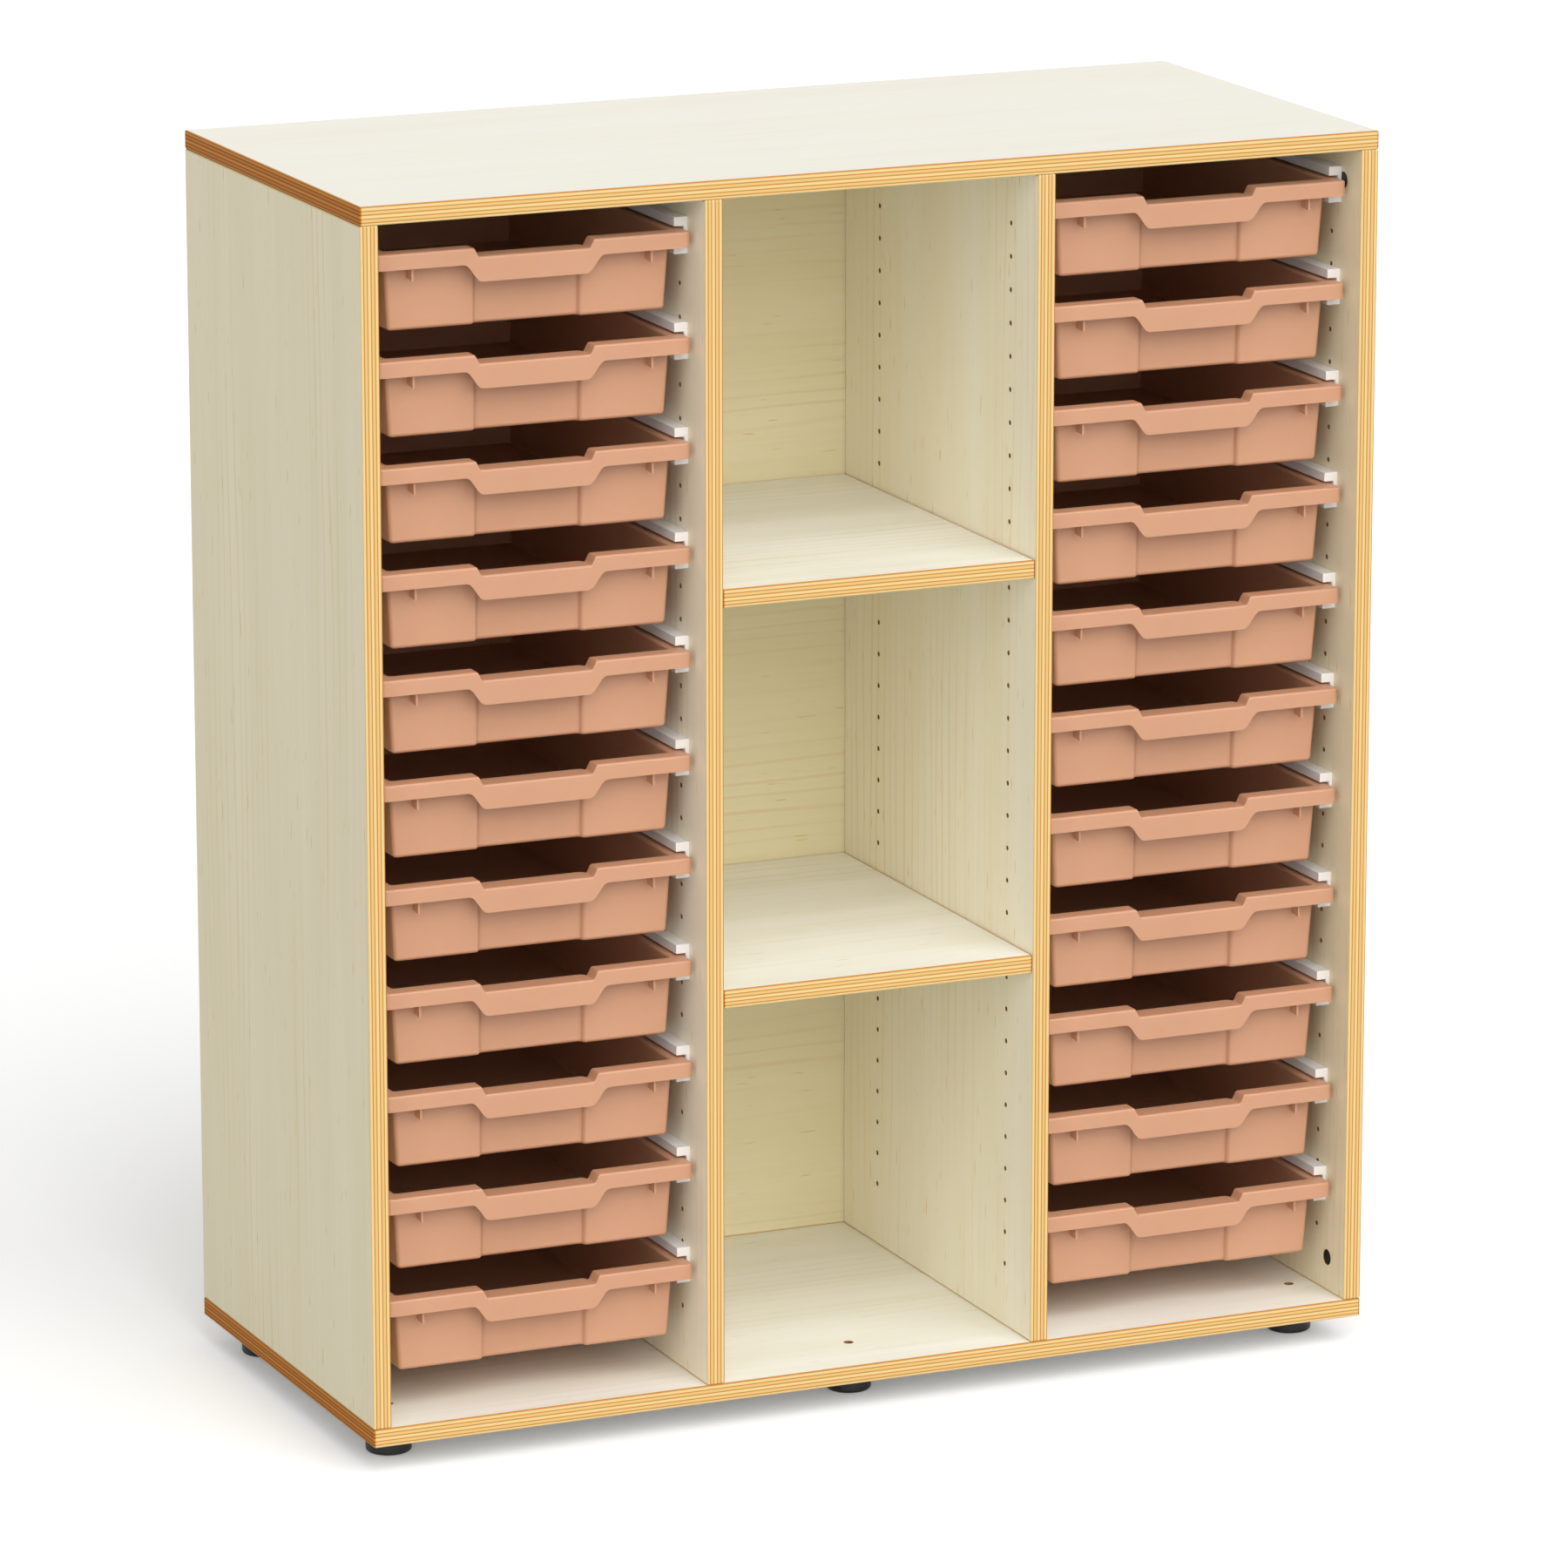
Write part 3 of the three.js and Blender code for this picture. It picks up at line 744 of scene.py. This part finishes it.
def tray_mesh(low, high):
    """The moulded tray, with its origin at the middle of the rim's front edge."""
    length, half_width, height = high.y - low.y, (high.x - low.x) / 2, high.z - low.z
    made = bmesh.new()
    rings = [[made.verts.new(p) for p in ring] for ring in tray_rings(length, half_width, height)]
    count = len(rings[0])
    for outer, inner in zip(rings, rings[1:]):
        for i in range(count):
            after = (i + 1) % count
            made.faces.new((outer[i], outer[after], inner[after], inner[i]))
    made.faces.new(rings[-1])
    bmesh.ops.recalc_face_normals(made, faces=made.faces[:])
    return made


def add_gusset(made, x):
    """A thin web under the front rim, deepest at its front edge."""
    wall = RIM_FRONT + TUB_END_TAPER / 2
    outline = [
        (GUSSET_SETBACK, -TRAY_WALL / 2),
        (GUSSET_SETBACK, -RIM_DROP - GUSSET_DROP),
        (wall, -RIM_DROP - GUSSET_WALL_DROP),
        (wall, -TRAY_WALL / 2),
    ]
    half = GUSSET_THICKNESS / 2
    near, far = [[(x + sign * half, y, z) for y, z in outline] for sign in (-1, 1)]
    add_prism(made, near, far)


def trays():
    """One moulded mesh, which all trays share."""
    low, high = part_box("tray_left_01")
    first = new_object("tray_skin", tray_mesh(low, high), [TRAY_PLASTIC])
    solid = first.modifiers.new("wall", "SOLIDIFY")
    solid.thickness = TRAY_WALL
    solid.offset = -1
    edge = first.modifiers.new("edge", "BEVEL")
    edge.width = LIP_ROUNDING
    edge.segments = 2
    edge.limit_method = "ANGLE"
    edge.angle_limit = math.radians(LIP_EDGE_ANGLE)
    depsgraph = bpy.context.evaluated_depsgraph_get()
    skin = bpy.data.meshes.new_from_object(first.evaluated_get(depsgraph))
    bpy.data.objects.remove(first)
    made = bmesh.new()
    made.from_mesh(skin)
    for sign in (-1, 1):
        add_gusset(made, sign * GUSSET_OFFSET)
    bmesh.ops.recalc_face_normals(made, faces=made.faces[:])
    made.to_mesh(skin)
    made.free()
    shade_smooth(skin, TRAY_SMOOTH_ANGLE)
    skin.name = "tray_moulding"
    for node in TRAYS:
        low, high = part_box(node)
        piece = bpy.data.objects.new(f"{node}_moulding", skin)
        bpy.context.scene.collection.objects.link(piece)
        piece.location = ((low.x + high.x) / 2, low.y, high.z)
        even_normals(piece)
        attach(piece, node)
        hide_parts(node)


# Runners
def runner_mesh(face_x, away, rim_z):
    """A channel of C section on an upright's face; away is the way from the face to the tray."""
    seat = rim_z - RIM_DROP - TRAY_SEAT_PLAY
    ceiling = seat + RUNNER_CHANNEL
    outline = [
        (0, seat - RUNNER_FLANGE),
        (RUNNER_WIDTH, seat - RUNNER_FLANGE),
        (RUNNER_WIDTH, seat),
        (RUNNER_WEB, seat),
        (RUNNER_WEB, ceiling),
        (RUNNER_WIDTH, ceiling),
        (RUNNER_WIDTH, ceiling + RUNNER_FLANGE),
        (0, ceiling + RUNNER_FLANGE),
    ]
    ends = (FRONT + RUNNER_FRONT_INSET, BACK_FACE - RUNNER_REAR_GAP)
    near, far = [[(face_x + away * offset, y, z) for offset, z in outline] for y in ends]
    made = bmesh.new()
    add_prism(made, near, far)
    bmesh.ops.recalc_face_normals(made, faces=made.faces[:])
    round_edges(made, RUNNER_ROUNDING, segments=2)
    return made


def runners():
    """Two channels for each tray, which the solids have as part of the uprights."""
    for node in TRAYS:
        low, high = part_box(node)
        side = node.split("_")[1]
        sign = -1 if side == "left" else 1
        panel_low, panel_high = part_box(f"{side}_side_panel")
        divider_low, divider_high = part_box(f"{side}_divider")
        outer_face = (panel_low.x if sign < 0 else panel_high.x) - sign * BOARD
        inner_face = (divider_high.x if sign < 0 else divider_low.x) + sign * BOARD
        places = (
            ("outer", f"{side}_side_panel", outer_face, -sign),
            ("inner", f"{side}_divider", inner_face, sign),
        )
        for where, upright, face_x, away in places:
            name = f"runner_{node.removeprefix('tray_')}_{where}"
            piece = new_object(name, runner_mesh(face_x, away, high.z), [RUNNER_PLASTIC])
            smooth(piece)
            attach(piece, "carcass")
            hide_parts(upright)


# Feet, inserts, cam locks and dowels
def turned_mesh(profile, sides):
    """A closed profile of radius and height, turned about Z."""
    made = bmesh.new()
    rings = []
    for radius, z in profile:
        if radius == 0:
            rings.append([made.verts.new((0, 0, z))])
            continue
        angles = [2 * math.pi * i / sides for i in range(sides)]
        rings.append([made.verts.new((radius * math.cos(a), radius * math.sin(a), z)) for a in angles])
    for lower, upper in zip(rings, rings[1:]):
        for i in range(sides):
            after = (i + 1) % sides
            corners = [lower[i % len(lower)], lower[after % len(lower)]]
            corners += [upper[after % len(upper)], upper[i % len(upper)]]
            made.faces.new(list(dict.fromkeys(corners)))
    bmesh.ops.recalc_face_normals(made, faces=made.faces[:])
    return made


def quarter(radius_at, z_at, size, start, steps=6):
    """Points of a quarter round in a turned profile."""
    angles = [math.radians(start + 90 * i / steps) for i in range(steps + 1)]
    return [(radius_at + size * math.cos(a), z_at + size * math.sin(a)) for a in angles]


def feet():
    """Turned feet: a rounded pad, a sloping shoulder, a hub and a stem."""
    for node in FEET:
        stem_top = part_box(node)[1].z
        hub_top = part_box("bottom_panel")[0].z - INSERT_FLANGE
        shoulder = FOOT_PAD + FOOT_SHOULDER
        pad_edge, hub_edge = FOOT_PAD_ROUNDING, FOOT_HUB_ROUNDING
        profile = [(0, 0)]
        profile += quarter(FOOT_RADIUS - FOOT_ROUNDING, FOOT_ROUNDING, FOOT_ROUNDING, -90)
        profile += quarter(FOOT_RADIUS - pad_edge, FOOT_PAD - pad_edge, pad_edge, 0)
        profile += [(FOOT_HUB_RADIUS + hub_edge, shoulder - hub_edge)]
        profile += [(FOOT_HUB_RADIUS, shoulder + hub_edge)]
        profile += quarter(FOOT_HUB_RADIUS - hub_edge, hub_top - hub_edge, hub_edge, 0)
        profile += [(FOOT_STEM_RADIUS, hub_top), (FOOT_STEM_RADIUS, stem_top), (0, stem_top)]
        piece = new_object(f"{node}_moulding", turned_mesh(profile, FOOT_SIDES), [BLACK_PLASTIC])
        smooth(piece)
        piece.location = (*foot_centre(node), 0)
        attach(piece, node)
        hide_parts(node)


def cam_locks():
    """Round heads with a crossed slot, facing the trays."""
    for node in (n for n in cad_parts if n.startswith("cam_lock_")):
        low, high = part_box(node)
        length = high.x - low.x
        profile = [(0, 0), (CAM_RADIUS, 0)]
        profile += quarter(CAM_RADIUS - CAM_ROUNDING, length - CAM_ROUNDING, CAM_ROUNDING, 0, steps=4)
        profile += [(0, length)]
        piece = new_object(f"{node}_head", turned_mesh(profile, CAM_SIDES), [CAM_PLASTIC])
        cross = bmesh.new()
        for size in ((CAM_SLOT_LENGTH, CAM_SLOT_WIDTH), (CAM_SLOT_WIDTH, CAM_SLOT_LENGTH)):
            half = Vector((size[0] / 2, size[1] / 2, CAM_SLOT_DEPTH))
            arm = Matrix.Translation((0, 0, length)) @ Matrix.Diagonal((*(2 * half), 1))
            bmesh.ops.create_cube(cross, size=1, matrix=arm)
        cut(piece, cross)
        smooth(piece)
        towards_middle = 90 if low.x < 0 else -90
        piece.rotation_euler = (0, math.radians(towards_middle), 0)
        start = low.x if low.x < 0 else high.x
        piece.location = (start, (low.y + high.y) / 2, (low.z + high.z) / 2)
        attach(piece, "carcass")
        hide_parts(node)


def hidden_hardware():
    """Finishes of the inserts and dowels, which are shown as their solids."""
    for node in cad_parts:
        if node.startswith("foot_insert"):
            finish = STEEL
        elif "dowel" in node:
            finish = BEECH
        else:
            continue
        shown = bpy.data.objects[node]
        shown.data.materials.clear()
        shown.data.materials.append(finish)


# Studio
def camera():
    data = bpy.data.cameras.new("camera")
    data.sensor_width = SENSOR_WIDTH
    data.lens = FOCAL_PIXELS / PHOTO_PIXELS * SENSOR_WIDTH
    shown = bpy.data.objects.new("camera", data)
    shown.location = CAMERA_PLACE
    shown.rotation_euler = (math.radians(90 - CAMERA_PITCH), 0, math.radians(-CAMERA_YAW))
    data.clip_end = CLIP_END
    bpy.context.scene.collection.objects.link(shown)
    bpy.context.scene.camera = shown


def sun(name, elevation, azimuth, level, spread):
    """A broad lamp; level is what a square-on white surface gets, azimuth 0 is straight in front."""
    data = bpy.data.lights.new(name, "SUN")
    data.energy = level * math.pi
    data.angle = math.radians(spread)
    lamp = bpy.data.objects.new(name, data)
    lamp.rotation_euler = (math.radians(90 - elevation), 0, math.radians(azimuth))
    bpy.context.scene.collection.objects.link(lamp)


def seen_rays(tree):
    """1 for camera, glossy and transmission rays."""
    paths = tree.nodes.new("ShaderNodeLightPath")
    seen = paths.outputs["Is Camera Ray"]
    for kind in ("Is Glossy Ray", "Is Transmission Ray"):
        either = tree.nodes.new("ShaderNodeMath")
        either.operation = "MAXIMUM"
        tree.links.new(seen, either.inputs[0])
        tree.links.new(paths.outputs[kind], either.inputs[1])
        seen = either.outputs[0]
    return seen


def studio():
    """A white room: world, lamps and a floor that keeps the shadow."""
    world = bpy.data.worlds.new("studio")
    bpy.context.scene.world = world
    world.use_nodes = True
    tree = world.node_tree
    strength = tree.nodes.new("ShaderNodeMapRange")
    strength.inputs["To Min"].default_value = AMBIENT
    strength.inputs["To Max"].default_value = BACKDROP
    tree.links.new(seen_rays(tree), strength.inputs["Value"])
    tree.links.new(strength.outputs[0], tree.nodes["Background"].inputs["Strength"])
    tree.nodes["Background"].inputs["Color"].default_value = (1, 1, 1, 1)

    for lamp in LAMPS:
        sun(*lamp)

    made = bmesh.new()
    bmesh.ops.create_grid(made, x_segments=1, y_segments=1, size=FLOOR_SIZE)
    floor_finish = Finish("studio_floor", 0.9)
    shades = [grey(level) for level in (FLOOR_BOUNCE, FLOOR_SEEN)]
    floor_finish.colour(floor_finish.mix(seen_rays(floor_finish.tree), *shades))
    floor_finish.shader.inputs["Emission Color"].default_value = (1, 1, 1, 1)
    lift = floor_finish.node("ShaderNodeMath", {0: seen_rays(floor_finish.tree)}, operation="MULTIPLY")
    lift.inputs[1].default_value = FLOOR_LIFT
    floor_finish.tree.links.new(lift.outputs[0], floor_finish.shader.inputs["Emission Strength"])
    floor = new_object("studio_floor", made, [floor_finish.material])


uprights()
flat_boards()
runners()
trays()
feet()
cam_locks()
hidden_hardware()
camera()
studio()
bpy.context.scene.view_settings.view_transform = "Standard"
